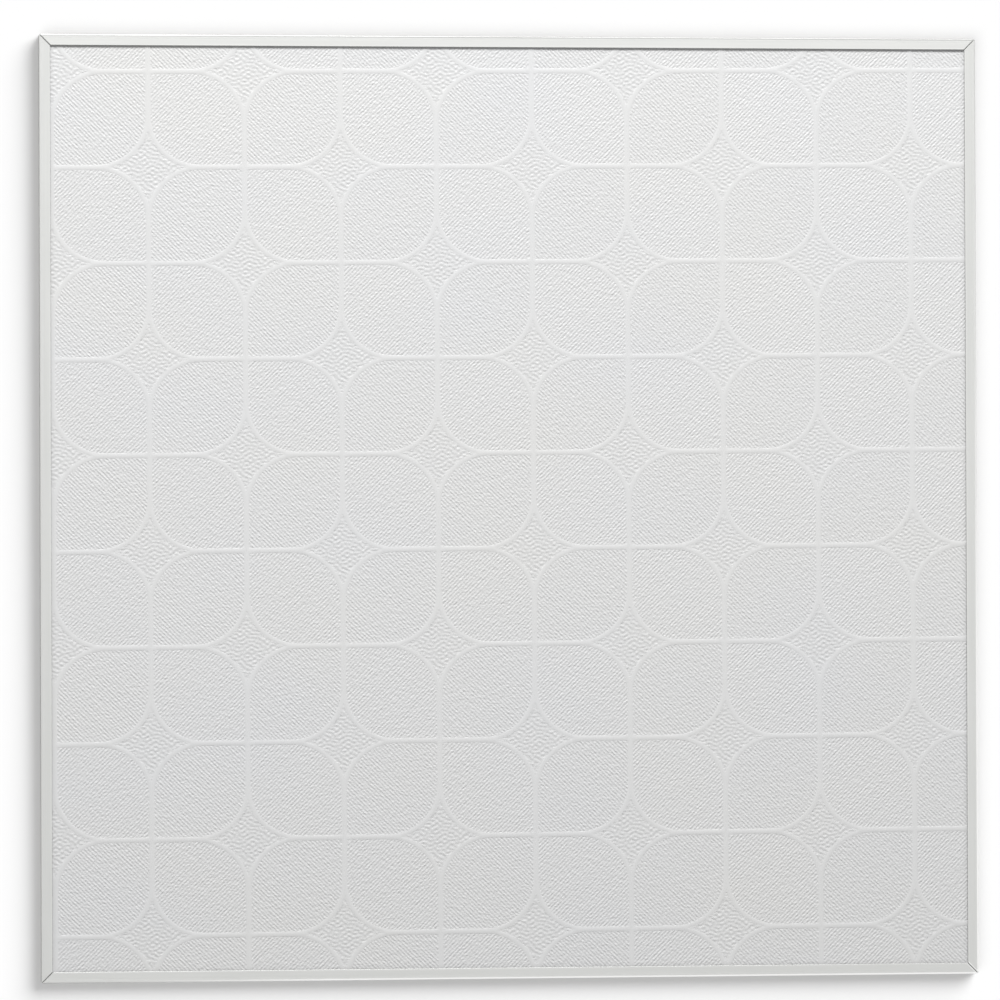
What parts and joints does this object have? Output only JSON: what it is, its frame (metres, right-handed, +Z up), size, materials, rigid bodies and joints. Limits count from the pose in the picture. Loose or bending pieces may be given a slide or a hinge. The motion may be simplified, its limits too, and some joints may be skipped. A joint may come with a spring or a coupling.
{
  "type": "gypsum ceiling tile",
  "caption": "Square lay-in ceiling tile: a gypsum panel with an embossed white vinyl face, gripped round its edge by a mitred aluminium channel frame.",
  "frame": {"origin": "under the middle of the tile, on the plane of the back lips that it lies on", "axes": "+Z up out of the embossed face, +X to the right and +Y away from the near edge as the face is seen in the picture"},
  "size_m": [0.598, 0.598, 0.0104],
  "materials": {
    "faced_gypsum": "matte",
    "edge_aluminium": "satin"
  },
  "bodies": {
    "root": {"gypsum_panel": "faced_gypsum", "edge_channel_near": "edge_aluminium", "edge_channel_right": "edge_aluminium", "edge_channel_far": "edge_aluminium", "edge_channel_left": "edge_aluminium"}
  },
  "joints": []
}
